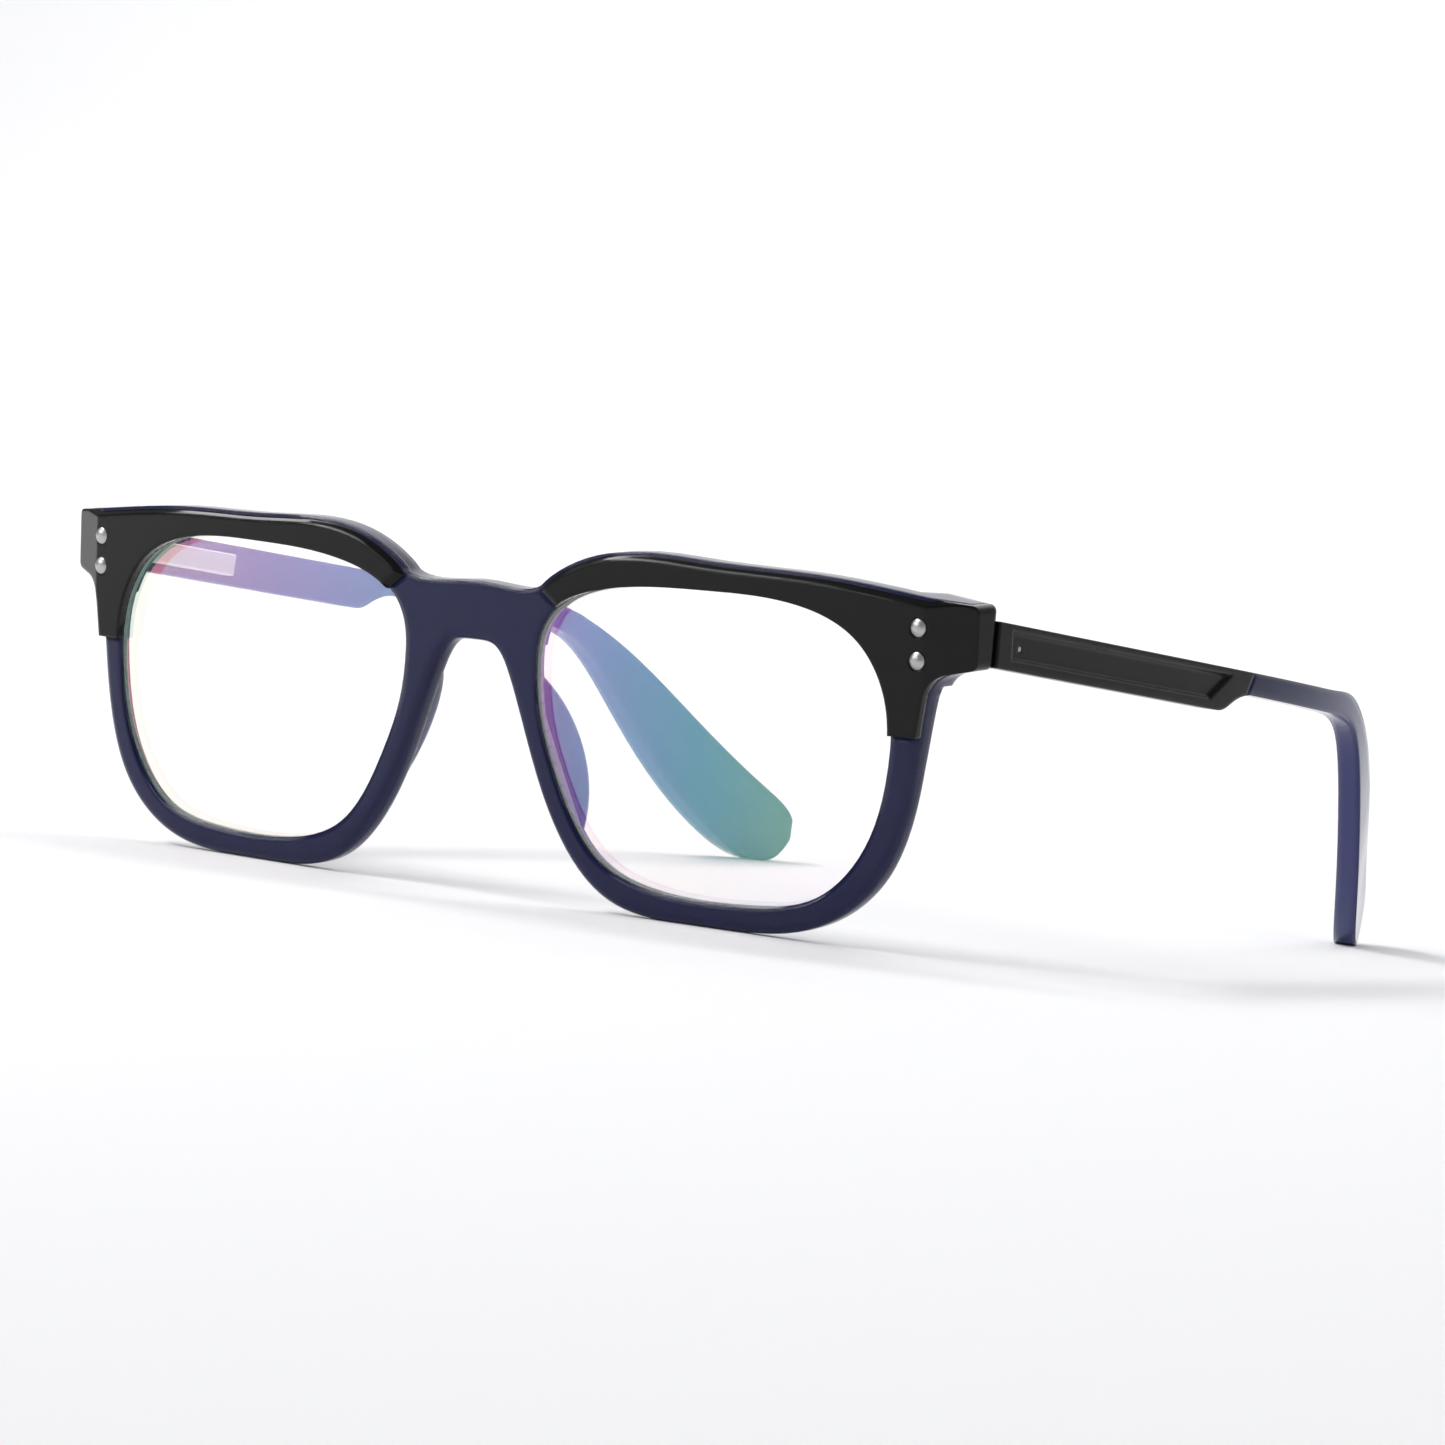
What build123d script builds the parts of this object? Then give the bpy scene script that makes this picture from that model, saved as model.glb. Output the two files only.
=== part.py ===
from build123d import *
import math
import os

# A pair of blue-light glasses with a two-tone front and spring hinges.
# Everything is drawn with the front upright: +X to the wearer's left, +Y to the back,
# +Z up, z = 0 at lens-centre height and y = 0 at the foremost face in the middle.
# The last step turns the whole pair so that it stands on its rims and temple tips.

os.makedirs("parts", exist_ok=True)

# ---- front ------------------------------------------------------------------
LENS_WIDTH = 50.0          # opening of one rim
LENS_HEIGHT = 37.0
BRIDGE_GAP = 20.2          # between the two rim openings
RIM_SIDE = 3.5             # rim width at the outer side
RIM_BOTTOM = 3.3
RIM_NASAL = 3.1
RIM_TOP = 3.3
FRONT_RADIUS = 500.0       # curve of the front seen from above
FRONT_DEPTH = 3.8          # brow face to back face
BRIDGE_TOP = 16.6          # height of the bridge's top edge
BRIDGE_UNDER = 9.3         # height of the arch over the nose
ARCH_HALF_WIDTH = 4.6
RIM_FRONT_ROUND = 1.0      # rounding of the rim's lower front edge
RIM_BACK_ROUND = 0.6

# ---- black brow pieces ------------------------------------------------------
BROW_PROUD = 0.8           # stands in front of the blue rim
BROW_LET_IN = 0.45         # sits in a pocket of the rim
BROW_LOW_END = 3.6         # height of its lower end on the outer side
BROW_BEVEL_UP = 1.4        # bevel along the top edge
BROW_BEVEL_BACK = 0.9
BROW_FACET_ALONG = 0.9     # slanted facet at its nose end
BROW_FACET_DEPTH = 0.6

# ---- end pieces -------------------------------------------------------------
END_REACH = 9.8            # end piece beyond the lens opening
FACET_REACH = 4.3          # where it turns back, from the lens opening
END_FACET_ANGLE = 27.5
END_TOP = 19.3
CROWN_FALL = 0.10          # slope of the top edge where it reaches the end
END_UNDER = 11.9
END_BACK = 10.3            # depth of the face that the temple closes on
END_WRAP = 1.2             # wall of the brow piece round the end
END_CORNER_ROUND = 0.9
END_NECK = 2.4             # the end piece starts this far under its lower edge
RIVET_RADIUS = 1.05
RIVET_SHANK_RADIUS = 0.6
RIVET_HEAD = 0.45
RIVET_REACH = 3.4          # middle of the rivets, from the lens opening
RIVET_HEIGHTS = (16.5, 12.65)

# ---- nose pads --------------------------------------------------------------
PAD_REACH = 4.6            # behind the back face of the front
PAD_THICKNESS = 2.0
PAD_SPLAY = 10.0           # opens towards the face
PAD_LENGTH = 24.0

# ---- lenses -----------------------------------------------------------------
LENS_RADIUS = 265.0
LENS_THICKNESS = 1.9
LENS_SEAT = 0.55           # how far the lens edge goes into the rim
LENS_BACK_OF_FACE = 0.7    # lens front behind the brow face, at the lens centre
LENS_BEVEL = 0.45

# ---- hinges -----------------------------------------------------------------
HINGE_REACH = 6.3          # screw, from the lens opening
HINGE_Y = 11.0
HINGE_Z = 14.7
HINGE_TILT = 5.0           # the screw leans with the temple
BARREL_RADIUS = 1.25
SCREW_RADIUS = 0.6
SCREW_HEAD_RADIUS = 0.95
SCREW_HEAD_HEIGHT = 0.5
EYE_HEIGHT = 1.5           # middle barrel, on the temple's tongue
KNUCKLE_HEIGHT = 1.0       # each outer barrel, on the front's leaf
HINGE_GAP = 0.06           # play between barrels, and round the screw
LEAF_THICKNESS = 0.9
LEAF_MARGIN = 1.6          # leaf beyond the middle of the rivets
LEAF_RISE = 1.2            # leaf above and below the barrels
SCREW_SLOT = 0.3
POCKET_GAP = 0.15          # room round the barrels in the end piece

# ---- spring unit in the temple ----------------------------------------------
TONGUE_WIDTH = 1.4
TONGUE_LENGTH = 6.3        # from the screw to the rod's shoulder
ROD_RADIUS = 0.38
ROD_LENGTH = 10.1
SPRING_WIRE = 0.3
SPRING_RADIUS = 0.62       # at the middle of the wire
SPRING_TURNS = 9
BOX_START = 4.4            # distance of the box from the screw
BOX_LENGTH = 17.6
BOX_WIDTH = 2.5
BOX_HEIGHT = 2.9
BOX_COLLAR = 2.0           # thick front wall that guides the tongue
BOX_WALL = 0.4
BOX_END_WALL = 0.6
BOX_CORNER_ROUND = 0.3
NUT_RADIUS = 0.76
NUT_THICKNESS = 0.6
SLIDE_GAP = 0.05
SPRING_END_GAP = 0.04

# ---- temples ----------------------------------------------------------------
TEMPLE_SLOPE = 9.9         # temple against the front, seen from the side
PART_GAP = 0.65            # between end piece and temple when open
TEMPLE_HEIGHT = 5.4
TEMPLE_NECK = 2.9          # height behind the step
TEMPLE_STEP = 50.0         # from the screw to where the lower edge steps up
TEMPLE_BEND = 91.0         # from the screw to where the tip turns down
TIP_DROP = 34.0            # angle of the tip's upper edge to the temple
TIP_LENGTH = 45.2
TIP_WIDTH = 9.4            # at its widest, near the end
TEMPLE_OUTER = 3.8         # outer face, from the screw
TEMPLE_THICKNESS = 3.0
TIP_INWARD = 18.3          # how far the tip's end comes in towards the ear
BARREL_CLEARANCE = 0.4     # hollow in the temple round the barrels
COVER_THICKNESS = 1.3
COVER_LENGTH = 58.0        # black cover, along the temple's upper edge
COVER_SLANT = 2.5          # its lower corner ends this much earlier
PANEL_START = 2.6          # long sunk panel in the cover
PANEL_END = 53.0
PANEL_SLANT = 5.0
PANEL_TOP = 2.05
PANEL_BOTTOM = -1.6
PANEL_DEPTH = 0.5
TEMPLE_RIVET_RADIUS = 0.3
TEMPLE_RIVET_PLACE = 5.2   # from the screw, through the box's collar
RIVET_SINK = 0.4           # how deep the rivet ends in the collar

REST_TOLERANCE = 0.002     # degrees, for the angle at which the pair stands


# ---- helpers ----------------------------------------------------------------
def front_y(x):
    """Depth of the foremost curved face at x."""
    return FRONT_RADIUS - math.sqrt(FRONT_RADIUS ** 2 - x * x)


LENS_X = (BRIDGE_GAP + LENS_WIDTH) / 2
HALF_W = LENS_WIDTH / 2
HALF_H = LENS_HEIGHT / 2
END_HALF_WIDTH = LENS_X + HALF_W + END_REACH
END_FACET_START = LENS_X + HALF_W + FACET_REACH
RIVET_X = LENS_X + HALF_W + RIVET_REACH
HINGE_X = LENS_X + HALF_W + HINGE_REACH


def upright(sketch_face, depth=40.0):
    """Extrude an outline drawn in x and z through the whole depth of the front."""
    return extrude(sketch_face, depth / 2, both=True)


def xz_face(*edges):
    """A face in the upright plane from edges drawn with (x, z) points."""
    return Plane.XZ * make_face(Curve() + list(edges))


# The lens shape as shares of half its width and height, round from the nasal side.
LENS_SHAPE = [(-1.0, 0.41), (-0.89, 0.775), (-0.607, 0.932), (0.0, 0.995), (0.475, 0.965),
              (0.82, 0.77), (0.984, 0.38), (0.992, 0.0), (0.884, -0.54), (0.635, -0.894),
              (0.275, -1.0), (-0.247, -0.99), (-0.607, -0.824), (-0.868, -0.315)]


def lens_outline(grow):
    """Closed curve of the rim opening, grown outwards by a margin."""
    points = [(LENS_X + u * (HALF_W + grow), v * (HALF_H + grow)) for u, v in LENS_SHAPE]
    return xz_face(Spline(*points, periodic=True))


def crown_curve():
    """Top edge of the front from the end piece to the dip before the bridge."""
    top = HALF_H + RIM_TOP
    nasal = HALF_W + RIM_NASAL
    return Spline((END_HALF_WIDTH, END_TOP),
                  (LENS_X + 0.50 * (HALF_W + RIM_SIDE), top - 0.35), (LENS_X, top),
                  (LENS_X - 0.70 * nasal, top - 1.75),
                  (LENS_X - 0.87 * nasal, BRIDGE_TOP + 0.35),
                  tangents=[(-1, CROWN_FALL), (-0.95, -1.0)])


def front_outline():
    """Right half of the front's outline, from the bridge round to the bridge."""
    wide = HALF_W + RIM_SIDE
    low = HALF_H + RIM_BOTTOM
    nasal = HALF_W + RIM_NASAL
    arch_foot = (ARCH_HALF_WIDTH + 1.0, BRIDGE_UNDER - 3.6)
    arch = Spline((0, BRIDGE_UNDER), (ARCH_HALF_WIDTH * 0.72, BRIDGE_UNDER - 0.45), arch_foot,
                  tangents=[(1, 0), (0.41, -0.91)])
    bottom = Spline(arch_foot,
                    (LENS_X - 0.80 * nasal, -0.50 * low),
                    (LENS_X - 0.50 * nasal, -0.915 * low),
                    (LENS_X, -low),
                    (LENS_X + 0.55 * wide, -0.925 * low),
                    (LENS_X + 0.86 * wide, -0.58 * low),
                    (LENS_X + wide - 0.4, 0),
                    (LENS_X + wide + 0.6, END_UNDER - 4.2),
                    tangents=[(0.41, -0.91), (0.14, 1.0)])
    end_foot = (LENS_X + wide + 3.6, END_UNDER - 0.6)
    under = Spline(bottom @ 1, end_foot, tangents=[(0.14, 1.0), (1, 0.16)])
    end_low = (END_HALF_WIDTH, END_UNDER)
    end_high = (END_HALF_WIDTH, END_TOP)
    crown = crown_curve()
    bridge = Spline(crown @ 1, (0, BRIDGE_TOP), tangents=[(-0.95, -0.62), (-1, 0)])
    return [arch, bottom, under, Line(end_foot, end_low), Line(end_low, end_high), crown, bridge]


RIGHT_EDGE = 200.0         # reach of the blocks that only cut


def mirrored(shape):
    """The same piece on the wearer's right side."""
    return mirror(shape, about=Plane.YZ)


def depth_slab(front_gap, back_depth, end_back=None):
    """Right half of the space between a front face and a back face, seen from above.

    The back face follows the front's own bend, or lies flat behind the end piece at end_back.
    """
    reach = END_HALF_WIDTH + 3.0
    turn_y = front_y(END_FACET_START)
    end_y = turn_y + (reach - END_FACET_START) * math.tan(math.radians(END_FACET_ANGLE))
    back_x = END_FACET_START if end_back is None else LENS_X + HALF_W + 1.2
    front_curve = ThreePointArc((0, front_gap),
                                (END_FACET_START / 2, front_y(END_FACET_START / 2) + front_gap),
                                (END_FACET_START, turn_y + front_gap))
    back_curve = ThreePointArc((0, back_depth), (back_x / 2, front_y(back_x / 2) + back_depth),
                               (back_x, front_y(back_x) + back_depth))
    if end_back is None:
        ends = Polyline(front_curve @ 1, (reach, end_y + front_gap), (reach, end_y + back_depth),
                        back_curve @ 1)
    else:
        ends = Polyline(front_curve @ 1, (reach, end_y + front_gap), (reach, end_back),
                        (back_x + 2.6, end_back), back_curve @ 1)
    face = make_face(Curve() + [front_curve, ends, back_curve,
                                Line((0, front_gap), (0, back_depth))])
    return Pos(0, 0, -RIGHT_EDGE / 2) * extrude(face, RIGHT_EDGE)


def place_hinge(shape):
    """Put a piece drawn about the screw (screw along Z) into its place in the front."""
    return Pos(HINGE_X, HINGE_Y, HINGE_Z) * Rot(-HINGE_TILT, 0, 0) * shape


def place_temple(shape):
    """Put a piece drawn along the temple (length along Y) into its place."""
    return Pos(HINGE_X, HINGE_Y, HINGE_Z) * Rot(-TEMPLE_SLOPE, 0, 0) * shape


def block(x_range, y_range, z_range):
    """A box between two corners."""
    size = [high - low for low, high in (x_range, y_range, z_range)]
    middle = [(high + low) / 2 for low, high in (x_range, y_range, z_range)]
    return Pos(*middle) * Box(*size)


def rod(radius, start, end):
    """A round bar along Y from one depth to another."""
    return Pos(0, (start + end) / 2, 0) * Rot(90, 0, 0) * Cylinder(radius, end - start)


def edges_at_depth(solid, gap, low_z=-RIGHT_EDGE, high_z=RIGHT_EDGE, shortest=12.0):
    """Long edges that lie on the curved face this far behind the front."""
    found = []
    for edge in solid.edges():
        middle = edge @ 0.5
        on_face = abs(middle.Y - front_y(middle.X) - gap) < 0.03
        if on_face and edge.length > shortest and low_z < middle.Z < high_z:
            found.append(edge)
    return found


def bevelled_plate():
    """The brow's body with its whole upper edge cut off at a slant, for the brow to be cut by."""
    reach = END_HALF_WIDTH + 4.0
    crown = crown_curve()
    tail = Line((reach, END_TOP - (reach - END_HALF_WIDTH) * CROWN_FALL), crown @ 0)
    end = crown @ 1
    low = -RIGHT_EDGE / 4
    back = 30.0
    side = Polyline(end, (end.X - 9.5, end.Y - 10.0), (end.X - 9.5, low), (reach, low), tail @ 0)
    front = ThreePointArc((-5, front_y(5)), (reach / 2, front_y(reach / 2)), (reach, front_y(reach)))
    behind = Polyline(front @ 1, (reach, back), (-5, back), front @ 0)
    slab = Pos(0, 0, -RIGHT_EDGE / 2) * extrude(make_face(Curve() + [front, behind]), RIGHT_EDGE)
    plate = upright(xz_face(tail, crown, side), 2 * RIGHT_EDGE) & slab
    ridge = edges_at_depth(plate, 0, low_z=END_TOP - 1.0, shortest=3.0)
    return chamfer(ridge, BROW_BEVEL_UP, BROW_BEVEL_BACK)


# ---- front frame and brow pieces --------------------------------------------
half_face = xz_face(*front_outline(), Line((0, BRIDGE_TOP), (0, BRIDGE_UNDER)))
half_prism = upright(half_face)
end_corners = [e for e in half_prism.edges().filter_by(Axis.Y)
               if e.center().X > END_HALF_WIDTH - 0.01]
half_prism = fillet(end_corners, END_CORNER_ROUND)
ring = half_prism - upright(lens_outline(0))

brow_slab = depth_slab(0, BROW_PROUD + BROW_LET_IN)
end_heights = block((0, RIGHT_EDGE), (-RIGHT_EDGE, RIGHT_EDGE), (END_UNDER - END_NECK, RIGHT_EDGE))
full_slab = depth_slab(0, FRONT_DEPTH, END_BACK + 2.0) & end_heights
end_slab = full_slab & depth_slab(BROW_PROUD, END_BACK + 4.0)

NASAL_CUT = ((LENS_X - HALF_W - 0.2, BRIDGE_TOP + 0.2), (LENS_X - HALF_W + 2.8, BRIDGE_TOP - 2.1))
brow_area = Polyline(NASAL_CUT[0], NASAL_CUT[1], (LENS_X, -3.0), (LENS_X + 10.0, BROW_LOW_END),
                     (RIGHT_EDGE, BROW_LOW_END), (RIGHT_EDGE, RIGHT_EDGE),
                     (NASAL_CUT[0][0] - 3.0, RIGHT_EDGE), NASAL_CUT[0])
brow_prism = upright(Plane.XZ * make_face(brow_area))
wrap = block((END_HALF_WIDTH - END_WRAP, RIGHT_EDGE), (-10, 20), (-30, 30))
brow = (ring & brow_prism) & (brow_slab + (full_slab & wrap)) & bevelled_plate()
nose_ends = [e for e in edges_at_depth(brow, 0, shortest=1.0) if (e @ 0.5).X < NASAL_CUT[1][0]]
brow = chamfer(nose_ends, BROW_FACET_ALONG, BROW_FACET_DEPTH)
thin_rim = ring & depth_slab(BROW_PROUD, FRONT_DEPTH)
thin_rim = fillet(edges_at_depth(thin_rim, FRONT_DEPTH, high_z=5), RIM_BACK_ROUND)
rim = thin_rim + (ring & end_slab) - brow
# The end piece stops at a plane that leans with the screw, so that the temple meets it evenly.
behind_end = place_hinge(block((-8.0, 20.0), (END_BACK - HINGE_Y, 20.0), (-40, 40)))
brow = brow - behind_end
rim = rim - behind_end
low_front = edges_at_depth(rim.solid(), BROW_PROUD, high_z=-HALF_H - 1.0)
rim = fillet(low_front, RIM_FRONT_ROUND)


# ---- nose pad, moulded with the rim -----------------------------------------
def nose_pad():
    """A flare that leaves the nose side of the rim and opens towards the face."""
    along = Vector(0.41, 0, -0.912).normalized()
    inward = Vector(0.912, 0, 0.41).normalized()
    splay = math.radians(PAD_SPLAY)
    back = inward * math.sin(splay) + Vector(0, math.cos(splay), 0)
    start = Vector(ARCH_HALF_WIDTH + 0.4, 0, BRIDGE_UNDER - 2.5) + inward * 0.35
    plane = Plane(origin=start, x_dir=along, z_dir=along.cross(back))
    root = FRONT_DEPTH - 1.6
    tip = FRONT_DEPTH + PAD_REACH
    bow = Spline((0, root + 0.6), (PAD_LENGTH * 0.20, tip - 1.5), (PAD_LENGTH * 0.52, tip),
                 (PAD_LENGTH * 0.82, tip - 2.1), (PAD_LENGTH, root + 0.6))
    close = Polyline(bow @ 1, (PAD_LENGTH, root), (0, root), bow @ 0)
    face = plane * make_face(Curve() + [bow, close])
    thick = PAD_THICKNESS if plane.z_dir.dot(inward) > 0 else -PAD_THICKNESS
    pad = extrude(face, thick)
    outer = [e for e in pad.edges() if e.length > PAD_LENGTH]
    return fillet(outer, PAD_THICKNESS * 0.42)


rim = rim + nose_pad()

# ---- lens -------------------------------------------------------------------
lens_front = Vector(LENS_X, front_y(LENS_X) + LENS_BACK_OF_FACE, 0)
to_centre = Vector(-LENS_X / FRONT_RADIUS, math.sqrt(1 - (LENS_X / FRONT_RADIUS) ** 2), 0)
ball_centre = lens_front + to_centre * LENS_RADIUS
outer_ball = Pos(ball_centre) * Sphere(LENS_RADIUS)
inner_ball = Pos(ball_centre) * Sphere(LENS_RADIUS - LENS_THICKNESS)
lens = upright(lens_outline(LENS_SEAT)) & block((0, 80), (-5, 15), (-40, 40))
lens = (lens & outer_ball) - inner_ball
lens_rims = [e for e in lens.edges() if e.length > LENS_WIDTH]
lens = chamfer(lens_rims, LENS_BEVEL)
rim = rim - lens
brow = brow - lens


# ---- rivets through the end piece -------------------------------------------
def end_rivet(height):
    """A domed head on the brow piece and a shank that reaches the hinge leaf."""
    head_y = front_y(RIVET_X)
    shank_end = END_BACK - LEAF_THICKNESS
    dome_radius = (RIVET_RADIUS ** 2 + RIVET_HEAD ** 2) / (2 * RIVET_HEAD)
    ball = Pos(0, head_y - RIVET_HEAD + dome_radius, 0) * Sphere(dome_radius)
    head = ball & rod(RIVET_RADIUS, head_y - RIVET_HEAD - 0.1, head_y + 0.3)
    shank = rod(RIVET_SHANK_RADIUS, head_y, shank_end)
    return Pos(RIVET_X, 0, height) * (head + shank)


rivets = [end_rivet(height) for height in RIVET_HEIGHTS]

# ---- hinge: leaf, screw and tongue ------------------------------------------
half_eye = EYE_HEIGHT / 2
barrel_top = half_eye + HINGE_GAP + KNUCKLE_HEIGHT
leaf_y = (END_BACK - HINGE_Y - LEAF_THICKNESS, END_BACK - HINGE_Y)
leaf_start = RIVET_X - LEAF_MARGIN - HINGE_X
leaf_half = barrel_top + LEAF_RISE
leaf_plate = block((leaf_start, -SCREW_HEAD_RADIUS - 0.1), leaf_y, (-leaf_half, leaf_half))


def knuckle(low, high):
    """One outer barrel with its root on the leaf."""
    middle = (low + high) / 2
    barrel = Pos(0, 0, middle) * Cylinder(BARREL_RADIUS, high - low)
    root = block((-BARREL_RADIUS, 0.0), (leaf_y[0], 0.0), (low, high))
    return barrel + root


leaf = leaf_plate + knuckle(half_eye + HINGE_GAP, barrel_top)
leaf = leaf + knuckle(-barrel_top, -half_eye - HINGE_GAP)
eye_room = Cylinder(BARREL_RADIUS + HINGE_GAP * 2, EYE_HEIGHT + 2 * HINGE_GAP)
leaf = leaf - eye_room
screw_hole = Cylinder(SCREW_RADIUS, 4 * barrel_top)
leaf = leaf - screw_hole
screw = Cylinder(SCREW_RADIUS, 2 * barrel_top)
screw_head = Cylinder(SCREW_HEAD_RADIUS, SCREW_HEAD_HEIGHT)
screw_head = Pos(0, 0, barrel_top + SCREW_HEAD_HEIGHT / 2) * screw_head
slot = Box(2 * SCREW_HEAD_RADIUS, SCREW_SLOT, SCREW_HEAD_HEIGHT)
slot = Pos(0, 0, barrel_top + SCREW_HEAD_HEIGHT) * slot
screw = screw + screw_head - slot

half_tongue = TONGUE_WIDTH / 2
eye = Cylinder(BARREL_RADIUS, EYE_HEIGHT)
slope_left = TEMPLE_SLOPE - HINGE_TILT
rod_end = TONGUE_LENGTH + ROD_LENGTH
bar_tilted = Rot(-slope_left, 0, 0) * block((-half_tongue, half_tongue), (1.0, TONGUE_LENGTH),
                                            (-half_tongue, half_tongue))
rod_tilted = Rot(-slope_left, 0, 0) * rod(ROD_RADIUS, TONGUE_LENGTH, rod_end)
neck = block((-half_tongue, half_tongue), (0, 2 * BARREL_RADIUS), (-half_eye, half_eye))
tongue = eye + neck + bar_tilted + rod_tilted - Cylinder(SCREW_RADIUS + HINGE_GAP, 4 * barrel_top)

# Everything of the hinge in the end piece sits in a pocket of its own outline.
pocket = block((leaf_start, 0.0), (leaf_y[0], 5.0), (-leaf_half, leaf_half))
barrel_pocket = Cylinder(BARREL_RADIUS + POCKET_GAP, 2 * (barrel_top + SCREW_HEAD_HEIGHT + POCKET_GAP))
rim = rim - place_hinge(pocket) - place_hinge(barrel_pocket)

leaf = place_hinge(leaf)
screw = place_hinge(screw)
tongue = place_hinge(tongue)
rivets = [rivet - leaf for rivet in rivets]
rim = rim - rivets[0] - rivets[1]
brow = brow - rivets[0] - rivets[1]
leaf = leaf - rivets[0] - rivets[1]

# ---- spring unit ------------------------------------------------------------
box_end = BOX_START + BOX_LENGTH
collar_end = BOX_START + BOX_COLLAR
half_box = BOX_WIDTH / 2
spring_box = block((-half_box, half_box), (BOX_START, box_end), (-BOX_HEIGHT / 2, BOX_HEIGHT / 2))
spring_box = fillet(spring_box.edges().filter_by(Axis.Y), BOX_CORNER_ROUND)
guide = half_tongue + SLIDE_GAP
spring_box = spring_box - block((-guide, guide), (BOX_START - 1, collar_end), (-guide, guide))
spring_box = spring_box - rod(half_box - BOX_WALL, collar_end - 0.01, box_end - BOX_END_WALL)
nut = rod(NUT_RADIUS, rod_end - NUT_THICKNESS, rod_end) - rod(ROD_RADIUS, 0, rod_end + 1)
spring_start = collar_end + SPRING_END_GAP + SPRING_WIRE / 2
spring_end = rod_end - NUT_THICKNESS - SPRING_END_GAP - SPRING_WIRE / 2
coil_height = spring_end - spring_start
coil_path = Helix(coil_height / SPRING_TURNS, coil_height, SPRING_RADIUS)
wire_section = Plane(coil_path @ 0, z_dir=coil_path % 0) * Circle(SPRING_WIRE / 2)
coil = sweep(wire_section, coil_path, is_frenet=True)
coil = Pos(0, spring_start, 0) * Rot(-90, 0, 0) * coil

# ---- temple -----------------------------------------------------------------
half_height = TEMPLE_HEIGHT / 2
neck_low = half_height - TEMPLE_NECK
drop = math.radians(TIP_DROP)
tip_start = (TEMPLE_BEND + 4.5, half_height - 1.9)


def on_tip(share, down):
    """A point on the tip, by its share of the length and its distance under the upper edge."""
    reach = TIP_LENGTH * share
    return (tip_start[0] + reach * math.cos(drop) - down * math.sin(drop),
            tip_start[1] - reach * math.sin(drop) - down * math.cos(drop))


tip_top = on_tip(0.78, 0)
tip_end = on_tip(0.95, TIP_WIDTH * 0.62)
tip_low = on_tip(0.62, TIP_WIDTH)
hollow = (TEMPLE_BEND + 1.5, neck_low - 1.4)
upper = Spline((TEMPLE_BEND - 11, half_height), (TEMPLE_BEND - 1, half_height - 0.15),
               tip_start, tip_top, tip_end, tangents=[(1, 0), (-0.62, -0.78)])
lower = Spline(tip_end, tip_low, hollow, (TEMPLE_BEND - 12, neck_low),
               tangents=[(-0.62, -0.78), (-1, 0)])
step = Spline((TEMPLE_STEP + 8.5, neck_low + 0.1), (TEMPLE_STEP + 3.4, -half_height + 1.25),
              (TEMPLE_STEP, -half_height), tangents=[(-1, 0), (-1, 0)])
side_edges = [Line((-4, half_height), upper @ 0), upper, lower, Line(lower @ 1, step @ 0), step,
              Line(step @ 1, (-4, -half_height)), Line((-4, -half_height), (-4, half_height))]
side_face = Plane.YZ * make_face(Curve() + side_edges)
side_prism = extrude(side_face, 60, both=True)

centre_x = TEMPLE_OUTER - TEMPLE_THICKNESS / 2
tip_reach = tip_end[0] + 2.0
band_points = [(centre_x, 48.0), (centre_x - 1.4, 75.0), (centre_x - 4.9, TEMPLE_BEND + 1.0),
               (centre_x - 9.4, TEMPLE_BEND + 14.0), (centre_x - TIP_INWARD - 2.9, tip_reach)]
band_centre = Spline(*band_points, tangents=[(0, 1), (-0.45, 1)])


def band_side(offset):
    """The temple's outer or inner face seen from above, half a thickness from its middle."""
    points = []
    for share in (0, 0.25, 0.5, 0.75, 1.0):
        normal = (band_centre % share).rotate(Axis.Z, -90)
        points.append(band_centre @ share + normal * offset)
    end_turn = band_centre % 1
    return Spline(*points, tangents=[(0, 1), end_turn])


outer_side = band_side(TEMPLE_THICKNESS / 2)
inner_side = band_side(-TEMPLE_THICKNESS / 2)
band_edges = [outer_side, Line(outer_side @ 1, inner_side @ 1), inner_side,
              Polyline(inner_side @ 0, (centre_x - TEMPLE_THICKNESS / 2, -4),
                       (centre_x + TEMPLE_THICKNESS / 2, -4), outer_side @ 0)]
band = Pos(0, 0, -90) * extrude(make_face(Curve() + band_edges), 180)
temple = side_prism & band
cover_face = TEMPLE_OUTER - COVER_THICKNESS
cover_low_end = COVER_LENGTH - COVER_SLANT
cover_outline = Polyline((-5, -10), (cover_low_end, -10), (cover_low_end, -half_height),
                         (COVER_LENGTH, half_height), (COVER_LENGTH, 10), (-5, 10), (-5, -10))
cover_block = extrude(Plane.YZ * make_face(cover_outline), 20)
cover_block = cover_block & block((cover_face, 20), (-10, 80), (-20, 20))
cover = temple & cover_block
arm = temple - cover_block

# The front ends stop one gap behind the end piece, parallel to it.
front_of_start = block((-20, 20), (-40, END_BACK - HINGE_Y + PART_GAP), (-40, 40))
front_of_start = Rot(slope_left, 0, 0) * front_of_start
barrel_hollow = Rot(slope_left, 0, 0) * Cylinder(BARREL_RADIUS + BARREL_CLEARANCE, 30)
cover = cover - front_of_start
arm = arm - front_of_start - barrel_hollow
box_slot = block((-half_box, half_box), (-5, box_end), (-BOX_HEIGHT / 2, BOX_HEIGHT / 2))
arm = arm - fillet(box_slot.edges().filter_by(Axis.Y), BOX_CORNER_ROUND)

panel_outline = Polyline((PANEL_START, PANEL_TOP), (PANEL_END, PANEL_TOP),
                         (PANEL_END - PANEL_SLANT, PANEL_BOTTOM), (PANEL_START + 0.6, PANEL_BOTTOM),
                         (PANEL_START, PANEL_TOP))
panel_face = Pos(TEMPLE_OUTER, 0, 0) * (Plane.YZ * make_face(panel_outline))
panel = extrude(panel_face, -PANEL_DEPTH, taper=45)
cover = cover - panel

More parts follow.
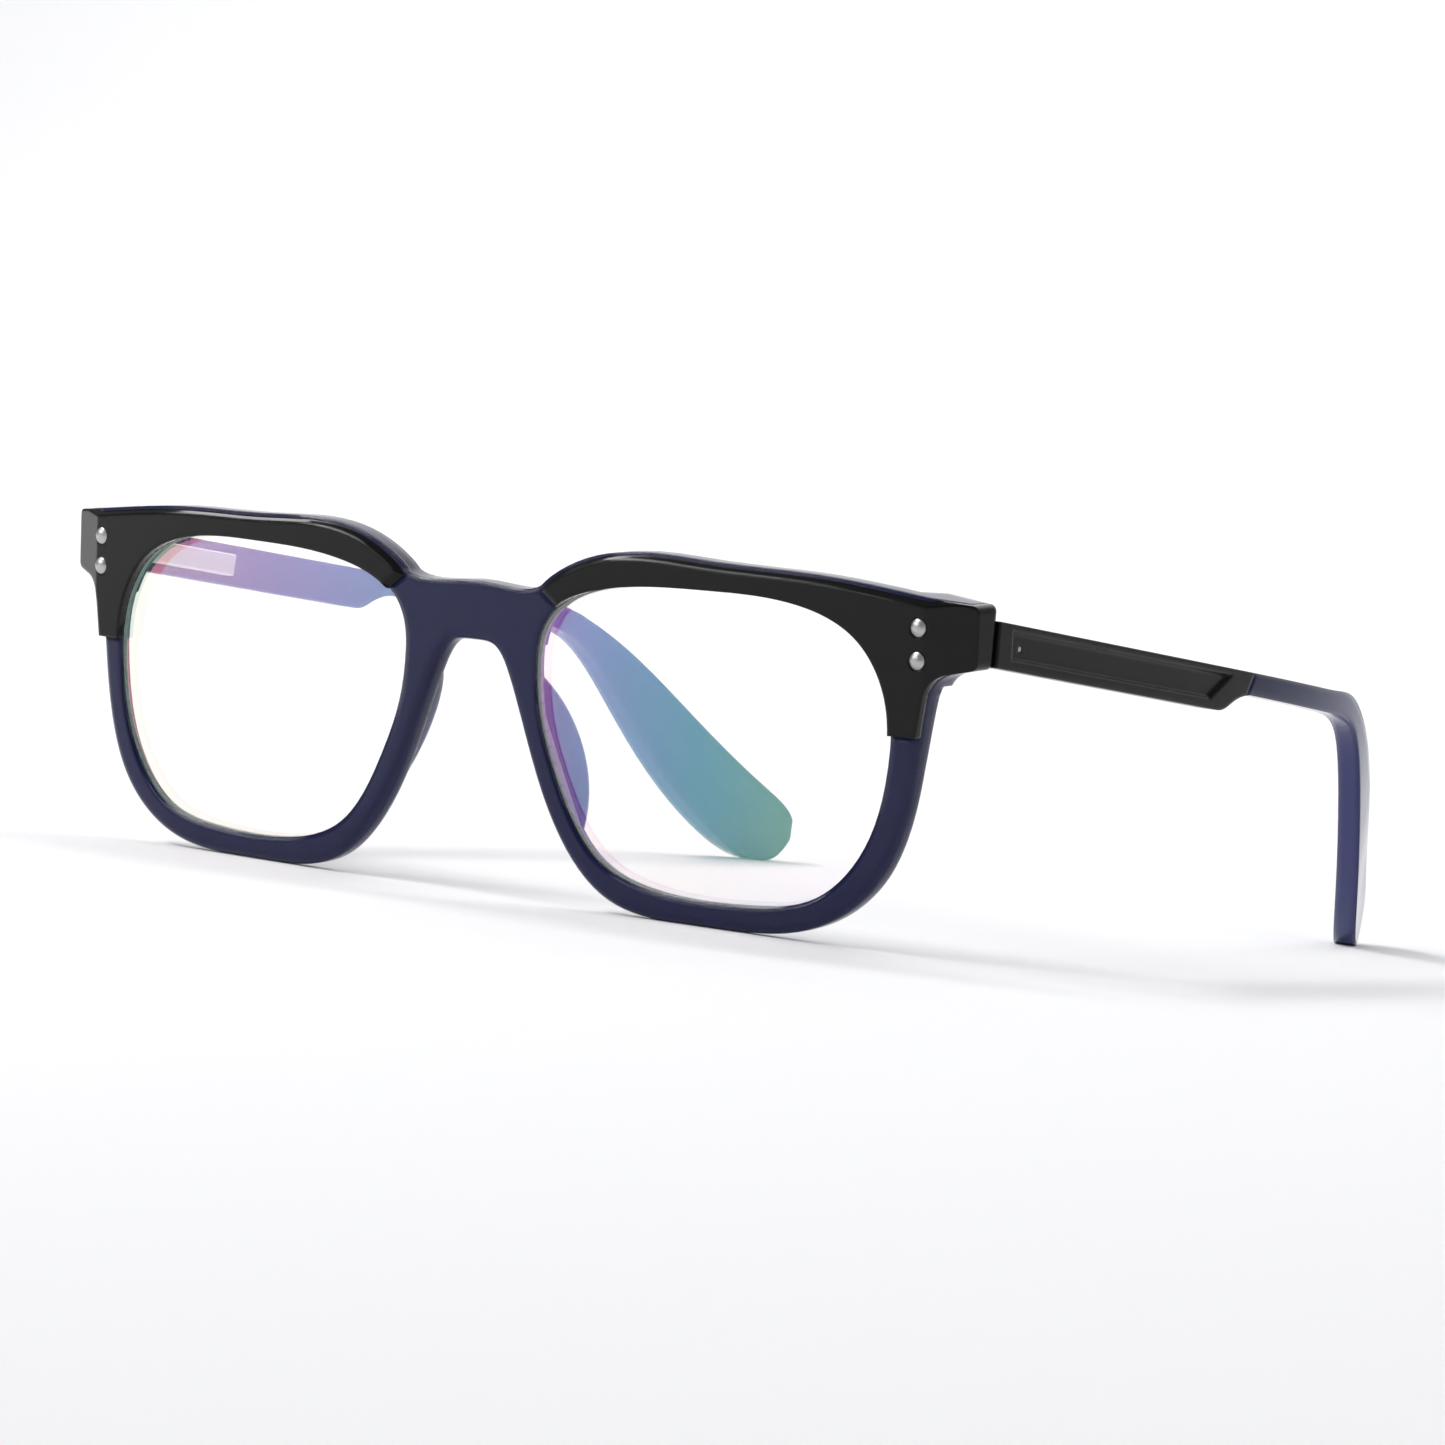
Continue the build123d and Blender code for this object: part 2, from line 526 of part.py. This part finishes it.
rivet_start = half_box - RIVET_SINK
rivet_face = TEMPLE_OUTER - PANEL_DEPTH
temple_rivet = Rot(0, 90, 0) * Cylinder(TEMPLE_RIVET_RADIUS, rivet_face - rivet_start)
temple_rivet = Pos((rivet_start + rivet_face) / 2, TEMPLE_RIVET_PLACE, 0) * temple_rivet
cover = cover - temple_rivet
arm = arm - temple_rivet
spring_box = spring_box - temple_rivet

# ---- the pieces, named ------------------------------------------------------
one_side = {
    "brow": brow,
    "lens": lens,
    "end_rivets": rivets[0] + rivets[1],
    "hinge_leaf": leaf,
    "hinge_screw": screw,
    "spring_tongue": tongue,
    "tongue_nut": place_temple(nut),
    "hinge_spring": place_temple(coil),
    "spring_box": place_temple(spring_box),
    "temple_rivet": place_temple(temple_rivet),
    "temple_arm": place_temple(arm),
    "temple_cover": place_temple(cover),
}
pieces = {"front_frame": rim + mirrored(rim)}
for name, shape in one_side.items():
    pieces[name + "_left"] = shape
    pieces[name + "_right"] = mirrored(shape)


# ---- stand the pair on its rims and temple tips -----------------------------
def lowest(shape, angle):
    """Lowest point of a piece after the pair is turned about X."""
    return (Rot(angle, 0, 0) * shape).bounding_box().min.Z


low_angle, high_angle = 0.0, 20.0
while high_angle - low_angle > REST_TOLERANCE:
    angle = (low_angle + high_angle) / 2
    if lowest(pieces["temple_arm_left"], angle) < lowest(rim, angle):
        low_angle = angle
    else:
        high_angle = angle
turned = {name: Rot(high_angle, 0, 0) * shape for name, shape in pieces.items()}
boxes = [shape.bounding_box() for shape in turned.values()]
foremost = min(box.min.Y for box in boxes)
rearmost = max(box.max.Y for box in boxes)
bottom = min(box.min.Z for box in boxes)
to_stand = Pos(0, -(foremost + rearmost) / 2, -bottom)

for name, shape in turned.items():
    standing = to_stand * shape
    export_step(standing, f"parts/{name}.step")
    print(f"{name:22s} {standing.volume:9.2f} mm3, {len(standing.solids())} solids")


def standing_point(x, y, z):
    """Where a point of the upright drawing is once the pair stands."""
    return [round(v, 4) for v in (to_stand * Rot(high_angle, 0, 0) * Pos(x, y, z)).position]


print("standing angle", round(high_angle, 4))
top = max(box.max.Z for box in boxes)
print("depth and height", round(rearmost - foremost, 3), round(top - bottom, 3))
print("screw centre", standing_point(HINGE_X, HINGE_Y, HINGE_Z))
print("origin of the upright drawing", standing_point(0, 0, 0))
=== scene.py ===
# %% [markdown]
# # A pair of blue-light glasses, finished in Blender
# The CAD model already holds every piece at its real size: the moulded front, the black brow
# pieces, the lenses, the riveted hinges and the sprung temples. This lesson dresses them. It
# shows how to soften moulded edges, how to tell clear navy plastic from polished black, and how
# to make a coated lens that looks clear over white and violet over anything dark.

# %% Load the frame
import math

import bpy
import numpy as np
from mathutils import Matrix, Vector
from mathutils.bvhtree import BVHTree

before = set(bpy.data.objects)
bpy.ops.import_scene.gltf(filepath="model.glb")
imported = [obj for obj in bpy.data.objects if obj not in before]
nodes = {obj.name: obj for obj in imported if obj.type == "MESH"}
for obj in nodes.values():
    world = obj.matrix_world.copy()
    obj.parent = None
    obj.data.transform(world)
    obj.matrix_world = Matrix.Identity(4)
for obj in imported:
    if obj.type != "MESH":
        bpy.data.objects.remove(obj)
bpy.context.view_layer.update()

MM = 0.001
SIDES = ("left", "right")

# %% [markdown]
# ## The camera
# A picture of glasses is taken a little to one side, so that one lens is seen nearly square and
# the far one narrows. A long lens from 70 cm keeps both rims about the same size. The camera is
# placed by three angles and a distance from a point between the bridge and the left lens. Typing
# a location would also work, but angles say at once what the viewer sees.

# %% Camera
VIEW_AZIMUTH = math.radians(35.98)      # from straight ahead towards the wearer's left
VIEW_ELEVATION = math.radians(1.95)
VIEW_ROLL = math.radians(5.87)
VIEW_DISTANCE = 690.0 * MM
VIEW_CENTRE = Vector((39.06, -67.94, 24.64)) * MM
FOCAL_LENGTH = 146.3                    # on a sensor 36 mm wide


def facing(place, target):
    """Position and turn of something at place whose -Z looks at target."""
    turn = (place - target).to_track_quat("Z", "Y")
    return Matrix.Translation(place) @ turn.to_matrix().to_4x4()


def aim_camera():
    """Set the camera down at its distance along the view direction, then roll it."""
    to_camera = Vector((math.sin(VIEW_AZIMUTH) * math.cos(VIEW_ELEVATION),
                        -math.cos(VIEW_AZIMUTH) * math.cos(VIEW_ELEVATION),
                        math.sin(VIEW_ELEVATION)))
    data = bpy.data.cameras.new("camera")
    data.lens = FOCAL_LENGTH
    data.sensor_width = 36.0
    data.clip_start = 0.05
    camera = bpy.data.objects.new("camera", data)
    bpy.context.collection.objects.link(camera)
    place = VIEW_CENTRE + to_camera * VIEW_DISTANCE
    roll = Matrix.Rotation(VIEW_ROLL, 4, "Z")
    camera.matrix_world = facing(place, VIEW_CENTRE) @ roll
    bpy.context.scene.camera = camera
    return camera


camera = aim_camera()
print("camera at", [round(v, 3) for v in camera.matrix_world.translation])

# %% [markdown]
# ## Shader tools
# Every finish here starts from an empty Principled shader. Three small helpers keep the recipes
# short: one makes the material, one adds a node and fills its sockets, one fills the shader's
# own sockets. Patterns read Object coordinates, in which one unit is one metre, so a pattern
# about 1 mm wide needs a scale of about 1000.

# %% Material helpers
def new_material(name):
    """An empty material with one Principled shader, and its node tree."""
    material = bpy.data.materials.new(name)
    material.use_nodes = True
    tree = material.node_tree
    return material, tree, tree.nodes["Principled BSDF"]


def add(tree, kind, **settings):
    """Add a node and set its plain properties and sockets by name."""
    node = tree.nodes.new(kind)
    for key, value in settings.items():
        if key in node.inputs:
            node.inputs[key].default_value = value
        else:
            setattr(node, key, value)
    return node


def set_sockets(shader, **values):
    """Fill the shader's own sockets; an underscore stands for a space."""
    for key, value in values.items():
        shader.inputs[key.replace("_", " ")].default_value = value


def new_group(name, inputs, outputs):
    """An empty node group with float inputs (name, value) and outputs (name, socket type)."""
    group = bpy.data.node_groups.new(name, "ShaderNodeTree")
    for label, value in inputs:
        socket = group.interface.new_socket(label, in_out="INPUT", socket_type="NodeSocketFloat")
        socket.default_value = value
    for label, kind in outputs:
        group.interface.new_socket(label, in_out="OUTPUT", socket_type=kind)
    return group, group.nodes.new("NodeGroupInput").outputs, group.nodes.new("NodeGroupOutput").inputs


def use_group(tree, group, **values):
    """Place a group in a material with its own values."""
    node = tree.nodes.new("ShaderNodeGroup")
    node.node_tree = group
    for key, value in values.items():
        node.inputs[key.replace("_", " ")].default_value = value
    return node


print("helpers ready")

# %% [markdown]
# ## Soft edges, waviness and smudges
# Moulded plastic never has a knife edge, and its polish is never perfectly flat. A Bevel node
# rounds the normals at every edge without touching the CAD mesh, which has to stay as it is.
# Two noises are added to it: a slow one that makes highlights wander, and a fine one like a
# moulding's skin. A third, slow noise raises the roughness in patches, as fingers leave it.

# %% Moulded surface group
WAVE_SCALE = 130.0         # bumps per metre, about 8 mm each
GRAIN_SCALE = 2600.0
SMUDGE_SCALE = 75.0
WAVE_HEIGHT = 0.5 * MM
GRAIN_HEIGHT = 0.02 * MM
SMUDGE_FROM, SMUDGE_TO = 0.45, 0.72     # part of the noise that counts as a smudge


def make_surface_group():
    """Group: rounded-edge normal with two noises on it, and a roughness that varies."""
    group, take, give = new_group(
        "moulded_surface",
        (("Edge", 0.3 * MM), ("Wave", 0.02), ("Grain", 0.02), ("Base Roughness", 0.1), ("Smudge", 0.1)),
        (("Normal", "NodeSocketVector"), ("Roughness", "NodeSocketFloat")))
    link = group.links.new
    coords = add(group, "ShaderNodeTexCoord")
    wave = add(group, "ShaderNodeTexNoise", Scale=WAVE_SCALE, Detail=1.0)
    grain = add(group, "ShaderNodeTexNoise", Scale=GRAIN_SCALE, Detail=3.0)
    smudge = add(group, "ShaderNodeTexNoise", Scale=SMUDGE_SCALE, Detail=6.0, Roughness=0.62)
    for node in (wave, grain, smudge):
        link(coords.outputs["Object"], node.inputs["Vector"])
    bevel = add(group, "ShaderNodeBevel", samples=8)
    slow = add(group, "ShaderNodeBump", Distance=WAVE_HEIGHT)
    fine = add(group, "ShaderNodeBump", Distance=GRAIN_HEIGHT)
    link(take["Edge"], bevel.inputs["Radius"])
    link(bevel.outputs["Normal"], slow.inputs["Normal"])
    link(wave.outputs["Fac"], slow.inputs["Height"])
    link(take["Wave"], slow.inputs["Strength"])
    link(slow.outputs["Normal"], fine.inputs["Normal"])
    link(grain.outputs["Fac"], fine.inputs["Height"])
    link(take["Grain"], fine.inputs["Strength"])
    patches = add(group, "ShaderNodeMapRange", interpolation_type="SMOOTHSTEP")
    patches.inputs["From Min"].default_value = SMUDGE_FROM
    patches.inputs["From Max"].default_value = SMUDGE_TO
    link(smudge.outputs["Fac"], patches.inputs["Value"])
    total = add(group, "ShaderNodeMath", operation="MULTIPLY_ADD")
    link(patches.outputs["Result"], total.inputs[0])
    link(take["Smudge"], total.inputs[1])
    link(take["Base Roughness"], total.inputs[2])
    link(fine.outputs["Normal"], give["Normal"])
    link(total.outputs[0], give["Roughness"])
    return group


SURFACE = make_surface_group()


def dress(tree, shader, **values):
    """Join the moulded surface to a shader."""
    node = use_group(tree, SURFACE, **values)
    tree.links.new(node.outputs["Normal"], shader.inputs["Normal"])
    tree.links.new(node.outputs["Roughness"], shader.inputs["Roughness"])


print("surface group inputs", [s.name for s in SURFACE.interface.items_tree if s.in_out == "INPUT"])

# %% [markdown]
# ## Navy plastic with painted light through its thin parts
# Navy plastic is so full of dye that it looks almost black where it is thick, and shows its blue
# where light passes through: at the nose pads and at the flat temple tips. Real absorption would
# do this by itself but needs many light bounces. Here that light is painted instead: a mask grows
# towards the back and, on the front, only near the nose. It mixes the deep colour with a lighter
# one, which is painted light through the plastic.

# %% Thin part mask
def make_mask_group():
    """Group: 1 where the plastic is thin and painted light shows through, from Object Y and from the
    distance to the middle.
    """
    group, take, give = new_group(
        "light_through_thin_part",
        (("Y Start", 0.0), ("Y End", 0.01), ("X Start", 1.0), ("X End", 0.9)),
        (("Mask", "NodeSocketFloat"),))
    link = group.links.new
    coords = add(group, "ShaderNodeTexCoord")
    split = add(group, "ShaderNodeSeparateXYZ")
    middle = add(group, "ShaderNodeMath", operation="ABSOLUTE")
    both = add(group, "ShaderNodeMath", operation="MULTIPLY")
    link(coords.outputs["Object"], split.inputs[0])
    link(split.outputs["X"], middle.inputs[0])
    for place, (value, axis) in enumerate(((split.outputs["Y"], "Y"), (middle.outputs[0], "X"))):
        ramp = add(group, "ShaderNodeMapRange", interpolation_type="SMOOTHSTEP")
        link(value, ramp.inputs["Value"])
        link(take[axis + " Start"], ramp.inputs["From Min"])
        link(take[axis + " End"], ramp.inputs["From Max"])
        link(ramp.outputs["Result"], both.inputs[place])
    link(both.outputs[0], give["Mask"])
    return group


LIGHT_THROUGH_MASK = make_mask_group()
CLOUD_SCALE = 260.0
CLOUDINESS = 0.10          # how much of the lighter colour drifts through the deep one
NAVY_EDGE = 1.3 * MM
DEEP_NAVY = (0.0045, 0.0060, 0.0420, 1.0)
# painted light: the lighter colour stands for light passing through thin plastic, not a dye of its own
TRANSMITTED_LIGHT_NAVY = (0.030, 0.036, 0.130, 1.0)


def navy_plastic(name, **mask_values):
    """Deep navy with a lighter colour painted on its thin parts as light passing through, and a faint
    cloudiness in the dye.
    """
    material, tree, shader = new_material(name)
    set_sockets(shader, IOR=1.50, Specular_IOR_Level=0.30)
    dress(tree, shader, Edge=NAVY_EDGE, Wave=0.03, Grain=0.03, Base_Roughness=0.07, Smudge=0.10)
    mask = use_group(tree, LIGHT_THROUGH_MASK, **mask_values)
    coords = add(tree, "ShaderNodeTexCoord")
    cloud = add(tree, "ShaderNodeTexNoise", Scale=CLOUD_SCALE, Detail=3.0)
    uneven = add(tree, "ShaderNodeMath", operation="MULTIPLY_ADD")
    uneven.inputs[1].default_value = CLOUDINESS
    colour = add(tree, "ShaderNodeMix", data_type="RGBA")
    colour.inputs[6].default_value = DEEP_NAVY
    # the lighter colour is painted light passing through the thin parts
    colour.inputs[7].default_value = TRANSMITTED_LIGHT_NAVY
    link = tree.links.new
    link(coords.outputs["Object"], cloud.inputs["Vector"])
    link(cloud.outputs["Fac"], uneven.inputs[0])
    link(mask.outputs["Mask"], uneven.inputs[2])
    link(uneven.outputs[0], colour.inputs["Factor"])
    link(colour.outputs[2], shader.inputs["Base Color"])
    return material


# the masks place the painted light-through colour at the nose pads and along the temple tips
FRONT_NAVY = navy_plastic("navy_front", Y_Start=-63.0 * MM, Y_End=-60.0 * MM,
                          X_Start=17.0 * MM, X_End=12.0 * MM)
TEMPLE_NAVY = navy_plastic("navy_temple", Y_Start=-5.0 * MM, Y_End=45.0 * MM)
print("navy materials", FRONT_NAVY.name, TEMPLE_NAVY.name)

# %% [markdown]
# ## Polished black
# Black plastic has almost no colour of its own. What the eye reads is the reflection, so the
# recipe is mostly about gloss: a low specular level keeps broad reflections dark while a
# narrow lamp still draws a clean line along each rounded edge. The same finish serves the brow
# pieces and the long covers of the temples, where the grain is a little stronger.

# %% Black plastic
BLACK_EDGE = 0.6 * MM
POLISHED, SATIN = 0.06, 0.20           # roughness of the brow pieces and of the covers


def black_plastic(name, grain, roughness):
    """Polished black with a fine skin and patches of finger smudge."""
    material, tree, shader = new_material(name)
    set_sockets(shader, Base_Color=(0.0042, 0.0042, 0.0046, 1.0), IOR=1.50, Specular_IOR_Level=0.20)
    dress(tree, shader, Edge=BLACK_EDGE, Wave=0.03, Grain=grain, Base_Roughness=roughness,
          Smudge=0.12)
    return material


BROW_BLACK = black_plastic("polished_black", grain=0.03, roughness=POLISHED)
COVER_BLACK = black_plastic("satin_black", grain=0.10, roughness=SATIN)
print("black roughness", POLISHED, "on the front and", SATIN, "on the temples")

# %% [markdown]
# ## Metals
# The rivet heads are turned steel, the hinge parts nickel silver, the spring hard wire. Metals
# share one recipe with a colour and a roughness each. The bump carries a stretched noise, drawn
# out along one axis, which looks like brushing. An anisotropic shader could do that too, but it
# needs tangents, and these parts are only a millimetre or two in size.

# %% Metals
BRUSH_SCALE = 1500.0
BRUSH_HEIGHT = 0.02 * MM
METAL_EDGE = 0.12 * MM
ROUGHNESS_SPREAD = 0.25    # how far the brushing changes the roughness


def metal(name, colour, roughness, stretch):
    """Brushed metal: a noise drawn out along one axis drives the bump and the roughness."""
    material, tree, shader = new_material(name)
    set_sockets(shader, Metallic=1.0, Base_Color=(*colour, 1.0))
    coords = add(tree, "ShaderNodeTexCoord")
    squeeze = add(tree, "ShaderNodeMapping")
    squeeze.inputs["Scale"].default_value = stretch
    brush = add(tree, "ShaderNodeTexNoise", Scale=BRUSH_SCALE, Detail=3.0)
    soft = add(tree, "ShaderNodeBevel", samples=6, Radius=METAL_EDGE)
    bump = add(tree, "ShaderNodeBump", Distance=BRUSH_HEIGHT, Strength=0.5)
    rough = add(tree, "ShaderNodeMath", operation="MULTIPLY_ADD")
    rough.inputs[1].default_value = ROUGHNESS_SPREAD
    rough.inputs[2].default_value = roughness
    link = tree.links.new
    link(coords.outputs["Object"], squeeze.inputs["Vector"])
    link(squeeze.outputs["Vector"], brush.inputs["Vector"])
    link(brush.outputs["Fac"], bump.inputs["Height"])
    link(brush.outputs["Fac"], rough.inputs[0])
    link(soft.outputs["Normal"], bump.inputs["Normal"])
    link(bump.outputs["Normal"], shader.inputs["Normal"])
    link(rough.outputs[0], shader.inputs["Roughness"])
    return material


RIVET = metal("brushed_rivet_steel", (0.44, 0.44, 0.43), 0.26, (1.0, 1.0, 0.15))
HINGE = metal("nickel_silver", (0.66, 0.62, 0.58), 0.24, (1.0, 0.12, 1.0))
WIRE = metal("spring_wire", (0.50, 0.50, 0.52), 0.16, (1.0, 1.0, 1.0))
print("metals", RIVET.name, HINGE.name, WIRE.name)

# %% [markdown]
# ## The coated lenses
# An anti-reflection coating is a film thinner than the wavelength of light. Light that bounces
# off its two faces interferes, so some colours come back strongly. The Principled shader has
# this built in: a film thickness in nanometres and a film index. About 255 nm gives magenta,
# 270 nm blue and 300 nm teal. Real coatings are not even, so each lens runs from one thickness
# to another across its width. Over a white ground the colour that is reflected is missing from
# the light that passes, and the two add up to white again: the lens looks clear.

# %% Coated lens
# Two places across each lens in millimetres, each with its film thickness in nanometres.
FILM_INDEX = 2.1
FILM_AT = {"left": ((9.0, 267.0), (46.0, 301.0)), "right": ((-60.0, 254.0), (-12.0, 276.0))}


def coated_lens(side):
    """Clear lens with a film whose thickness runs across the lens between two places."""
    (x_start, thin), (x_end, thick) = FILM_AT[side]
    material, tree, shader = new_material(f"coated_lens_{side}")
    set_sockets(shader, Base_Color=(1.0, 1.0, 1.0, 1.0), IOR=1.50, Transmission_Weight=1.0,
                Roughness=0.0, Thin_Film_IOR=FILM_INDEX, Thin_Film_Thickness=(thin + thick) / 2)
    coords = add(tree, "ShaderNodeTexCoord")
    split = add(tree, "ShaderNodeSeparateXYZ")
    ramp = add(tree, "ShaderNodeMapRange")
    ends = {"From Min": x_start * MM, "From Max": x_end * MM, "To Min": thin, "To Max": thick}
    for key, value in ends.items():
        ramp.inputs[key].default_value = value
    tree.links.new(coords.outputs["Object"], split.inputs[0])
    tree.links.new(split.outputs["X"], ramp.inputs["Value"])
    tree.links.new(ramp.outputs["Result"], shader.inputs["Thin Film Thickness"])
    return material


def ground_edge():
    """The lens's cut edge: pale and matt, with a trace of green."""
    material, tree, shader = new_material("ground_lens_edge")
    set_sockets(shader, Base_Color=(0.62, 0.72, 0.68, 1.0), Roughness=0.5)
    return material


LENS = {side: coated_lens(side) for side in SIDES}
LENS_EDGE = ground_edge()
print("film in nm", FILM_AT)

# %% [markdown]
# ## Painting the pieces
# One table joins each family of pieces to its finish. A lens takes two slots: the coated glass,
# and the ground edge on every face that doesn't look forwards or backwards. That edge sits in
# the rim's groove, but seen at a slant it shows through the glass as a thin pale line. The
# groove lies exactly on the lens, and two finishes on one surface would flicker, so the faces
# of rim and brow whose middle lies on a lens take the same pale finish. A search tree finds
# them: it answers how far a point is from the nearest face of the lens.

# %% Paint
FINISH = {"front_frame": FRONT_NAVY, "brow": BROW_BLACK, "end_rivets": RIVET, "hinge_leaf": HINGE,
          "hinge_screw": RIVET, "spring_tongue": HINGE, "tongue_nut": HINGE,
          "hinge_spring": WIRE, "spring_box": HINGE, "temple_rivet": RIVET,
          "temple_arm": TEMPLE_NAVY, "temple_cover": COVER_BLACK}
EDGE_SLANT = 0.6           # a face whose normal has less depth than this belongs to the edge
TOUCH = 0.02 * MM          # a face this near a lens lies on it


def paint(obj, *materials):
    """Give an object its material slots."""
    obj.data.materials.clear()
    for material in materials:
        obj.data.materials.append(material)


def mark_lens_edge(obj):
    """Move the faces round the lens to the second slot."""
    normals = np.empty(len(obj.data.polygons) * 3)
    obj.data.polygons.foreach_get("normal", normals)
    sideways = np.abs(normals.reshape(-1, 3)[:, 1]) < EDGE_SLANT
    obj.data.polygons.foreach_set("material_index", sideways.astype(np.int32))
    return int(sideways.sum())


def mark_groove(obj, trees):
    """Move the faces that lie on a lens to the second slot."""
    obj.data.materials.append(LENS_EDGE)
    middles = [face.center for face in obj.data.polygons]
    on_lens = [any(tree.find_nearest(p, TOUCH)[0] is not None for tree in trees) for p in middles]
    obj.data.polygons.foreach_set("material_index", np.array(on_lens, np.int32))
    return sum(on_lens)


for name, obj in nodes.items():
    family, _, side = name.rpartition("_")
    if family == "lens":
        paint(obj, LENS[side], LENS_EDGE)
        print(name, "edge faces", mark_lens_edge(obj))
    else:
        paint(obj, FINISH[family if side in SIDES else name])

LENS_TREES = []
for side in SIDES:
    mesh = nodes[f"lens_{side}"].data
    LENS_TREES.append(BVHTree.FromPolygons([v.co for v in mesh.vertices],
                                           [face.vertices for face in mesh.polygons]))
for name in ("front_frame", "brow_left", "brow_right"):
    print(name, "groove faces", mark_groove(nodes[name], LENS_TREES))

# %% [markdown]
# ## The sweep
# The ground is one surface: a floor that bends up into a wall, so that no horizon shows. It is
# a row of points in Y and Z repeated across X: a straight floor, a quarter circle and a straight
# wall. Numpy builds the whole grid at once and the mesh takes it in one call.

# %% Sweep
HALF_WIDTH = 4.0           # metres, like all sizes of the sweep
FLOOR_START, FLOOR_END = -3.0, 1.5
BEND_RADIUS = 0.8
WALL_TOP = 4.0


def studio():
    """Points (y, z) of floor, quarter circle and wall, repeated over x as a grid of quads."""
    across = np.linspace(-HALF_WIDTH, HALF_WIDTH, 9)
    bend = np.linspace(0.0, math.pi / 2, 14)[1:]
    floor_y = np.linspace(FLOOR_START, FLOOR_END, 12)
    y = np.concatenate([floor_y, FLOOR_END + BEND_RADIUS * np.sin(bend), [FLOOR_END + BEND_RADIUS]])
    z = np.concatenate([np.zeros(floor_y.size), BEND_RADIUS * (1 - np.cos(bend)), [WALL_TOP]])
    grid_x, grid_y = np.meshgrid(across, y)
    grid_z = np.meshgrid(across, z)[1]
    points = np.stack([grid_x, grid_y, grid_z], -1).reshape(-1, 3)
    rows, columns = grid_x.shape
    corner = (np.arange(rows - 1)[:, None] * columns + np.arange(columns - 1)).ravel()
    faces = np.stack([corner, corner + 1, corner + columns + 1, corner + columns], -1)
    mesh = bpy.data.meshes.new("sweep")
    mesh.from_pydata(points.tolist(), [], faces.tolist())
    mesh.polygons.foreach_set("use_smooth", np.ones(len(faces), bool))
    sweep = bpy.data.objects.new("sweep", mesh)
    bpy.context.collection.objects.link(sweep)
    material, tree, shader = new_material("pale_sweep")
    set_sockets(shader, Base_Color=(0.86, 0.86, 0.87, 1.0), Roughness=0.9, Specular_IOR_Level=0.1)
    paint(sweep, material)
    return sweep


sweep = studio()
print("sweep faces", len(sweep.data.polygons))

# %% [markdown]
# ## The lights
# Glossy dark things are lit by what they reflect. A wide lamp above washes the sweep white.
# Narrow strips then draw the lines along the edges: one high in front for the ridge of the
# brow and the bridge, one lower down for the rims, one at the right for the end piece and the
# temple. The surroundings in front stay a soft grey, because the flat faces mirror them: white
# surroundings would turn the black plastic grey.

# %% Lights
def softbox(name, place, size, power, target=(0, -0.04, 0.02)):
    """A rectangular area lamp at a place, looking at a target."""
    data = bpy.data.lights.new(name, "AREA")
    data.shape = "RECTANGLE"
    data.size, data.size_y = size
    data.energy = power
    lamp = bpy.data.objects.new(name, data)
    lamp.matrix_world = facing(Vector(place), Vector(target))
    bpy.context.collection.objects.link(lamp)
    return lamp


LAMPS = [softbox("wall_wash", (-1.2, 1.1, 2.4), (3.5, 1.0), 66, target=(-1.5, 2.1, 0.5)),
         softbox("ridge_strip", (-0.62, -0.42, 0.95), (0.8, 0.16), 8.5),
         softbox("rim_strip", (-0.58, -0.78, 0.42), (0.8, 0.07), 3.2),
         softbox("right_strip", (1.05, -0.35, 0.45), (0.08, 0.6), 1.6)]
WORLD_STRENGTH = 0.24

world = bpy.data.worlds.new("studio_world")
bpy.context.scene.world = world
world.use_nodes = True
backdrop = world.node_tree.nodes["Background"]
backdrop.inputs["Color"].default_value = (0.97, 0.98, 1.0, 1.0)
backdrop.inputs["Strength"].default_value = WORLD_STRENGTH
bpy.context.scene.view_settings.view_transform = "Standard"
print("lamps in W", {lamp.name: round(lamp.data.energy, 1) for lamp in LAMPS})
